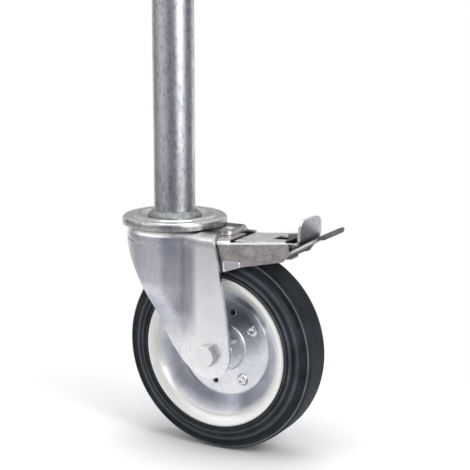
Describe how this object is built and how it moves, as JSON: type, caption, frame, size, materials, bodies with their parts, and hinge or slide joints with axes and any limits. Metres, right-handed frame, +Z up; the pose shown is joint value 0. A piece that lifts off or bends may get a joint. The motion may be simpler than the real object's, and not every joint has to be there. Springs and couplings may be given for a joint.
{
  "type": "scaffold castor",
  "caption": "Swivelling scaffold castor with a tube stem, ball-bearing head, pressed fork, solid rubber wheel on a pressed rim, and a foot brake with a release tab.",
  "frame": {"origin": "on the swivel axis, level with the top of the head plate's outer roll", "axes": "+Z up along the stem, +X towards the trailing side, where the wheel and the pedal are, and the axle lies along Y"},
  "size_m": [0.2239, 0.1034, 0.487],
  "materials": {
    "galvanised_zinc": "mottled hot-dip galvanised",
    "bright_zinc": "bright zinc plated, satin",
    "plain_steel": "brushed plated sheet",
    "dark_steel": "oiled, dark",
    "black_rubber": "matt moulded rubber",
    "seal_plastic": "matt"
  },
  "bodies": {
    "stem": {"stem_tube": "galvanised_zinc", "head_plate": "galvanised_zinc", "king_bolt": "dark_steel", "king_washer": "dark_steel", "king_nut": "dark_steel", "lock_ring": "dark_steel"},
    "upper_cage": {"upper_ball_ring": "dark_steel"},
    "lower_cage": {"lower_ball_ring": "dark_steel"},
    "fork": {"fork": "bright_zinc", "brake_housing": "plain_steel", "housing_rivet": "bright_zinc", "pedal_pin": "dark_steel", "shoe_pin": "dark_steel", "return_spring": "dark_steel", "axle_bolt": "bright_zinc", "axle_nut": "bright_zinc", "axle_washer": "bright_zinc", "axle_sleeve": "bright_zinc"},
    "wheel": {"tyre": "black_rubber", "rim_near": "bright_zinc", "rim_far": "bright_zinc", "rim_rivet_1": "bright_zinc", "rim_rivet_2": "bright_zinc", "rim_rivet_3": "bright_zinc", "rim_rivet_4": "bright_zinc", "hub_tube": "bright_zinc", "hub_seal_near": "seal_plastic", "hub_seal_far": "seal_plastic"},
    "rollers": {"roller_cage": "dark_steel"},
    "pedal": {"brake_pedal": "plain_steel", "release_lever": "plain_steel"},
    "shoe": {"brake_shoe": "dark_steel"}
  },
  "joints": [
    {"name": "swivel", "type": "hinge", "parent": "stem", "child": "fork", "pos_m": [0, 0, -0.009], "axis": [0, 0, 1], "continuous": true},
    {"name": "upper_cage_roll", "type": "hinge", "parent": "stem", "child": "upper_cage", "pos_m": [0, 0, -0.006], "axis": [0, 0, 1], "continuous": true},
    {"name": "lower_cage_roll", "type": "hinge", "parent": "stem", "child": "lower_cage", "pos_m": [0, 0, -0.0163], "axis": [0, 0, 1], "continuous": true},
    {"name": "wheel_spin", "type": "hinge", "parent": "fork", "child": "wheel", "pos_m": [0.057, 0, -0.127], "axis": [0, 1, 0], "continuous": true},
    {"name": "roller_roll", "type": "hinge", "parent": "fork", "child": "rollers", "pos_m": [0.057, 0, -0.127], "axis": [0, 1, 0], "continuous": true},
    {"name": "pedal_press", "type": "hinge", "parent": "fork", "child": "pedal", "pos_m": [0.12, 0, -0.0228], "axis": [0, 1, 0], "range_deg": [0, 16]},
    {"name": "shoe_press", "type": "hinge", "parent": "fork", "child": "shoe", "pos_m": [0.06, 0, -0.0205], "axis": [0, 1, 0], "range_deg": [0, 2.6]}
  ],
  "couplings": [
    {"joint": "upper_cage_roll", "follows": "swivel", "ratio": 0.5},
    {"joint": "lower_cage_roll", "follows": "swivel", "ratio": 0.5},
    {"joint": "roller_roll", "follows": "wheel_spin", "ratio": 0.63},
    {"joint": "shoe_press", "follows": "pedal_press", "ratio": 0.1625}
  ]
}
